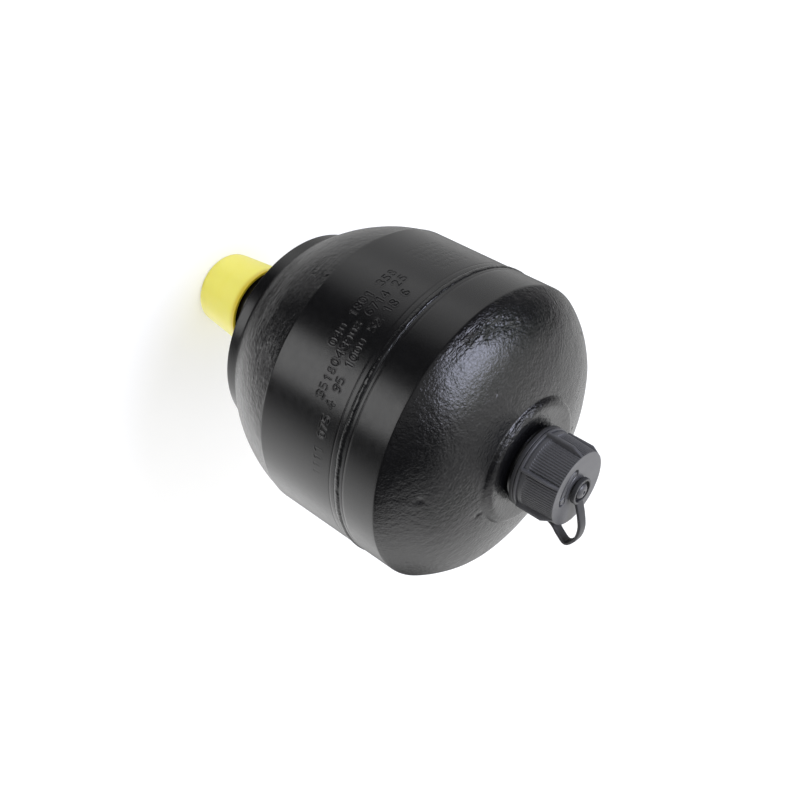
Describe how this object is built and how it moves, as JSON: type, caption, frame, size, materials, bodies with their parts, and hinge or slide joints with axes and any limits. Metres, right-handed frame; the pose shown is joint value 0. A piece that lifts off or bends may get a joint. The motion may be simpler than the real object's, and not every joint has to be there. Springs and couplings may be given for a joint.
{
  "type": "welded diaphragm accumulator",
  "caption": "Welded steel pressure vessel with a rubber diaphragm, capped gas charging neck at the top and capped threaded oil port at the bottom.",
  "frame": {"origin": "on the vessel's axis, in the plane of the port cap's closed end, on which the accumulator stands", "axes": "+Z along the vessel's axis from the oil port to the gas charging cap, the upright way it is usually fixed; the cap's strap loops out at 40 degrees from +X towards +Y"},
  "size_m": [0.1218, 0.1218, 0.1951],
  "materials": {
    "vessel_paint": "forged and turned steel under semi-gloss black paint",
    "weld_metal_painted": "rippled weld bead under gloss black paint",
    "ring_steel": "turned steel",
    "diaphragm_rubber": "moulded nitrile rubber",
    "button_steel": "turned steel, vulcanised to the diaphragm",
    "screw_steel": "zinc plated steel",
    "seal_copper": "soft copper sealing ring",
    "cap_plastic": "moulded black plastic with fine ridges",
    "strap_plastic": "flexible black plastic",
    "port_cap_plastic": "soft translucent yellow polyethylene"
  },
  "bodies": {
    "vessel": {"gas_shell": "vessel_paint", "fluid_shell": "vessel_paint", "weld_bead": "weld_metal_painted", "clamp_ring": "ring_steel", "diaphragm": "diaphragm_rubber", "charging_screw": "screw_steel", "screw_seal": "seal_copper", "gas_cap": "cap_plastic", "cap_strap": "strap_plastic", "port_cap": "port_cap_plastic"},
    "separator": {"closing_button": "button_steel"}
  },
  "joints": [
    {"name": "diaphragm_stroke", "type": "slide", "parent": "vessel", "child": "separator", "axis": [0, 0, 1], "range_m": [0, 0.088], "deforming": ["diaphragm"]}
  ]
}
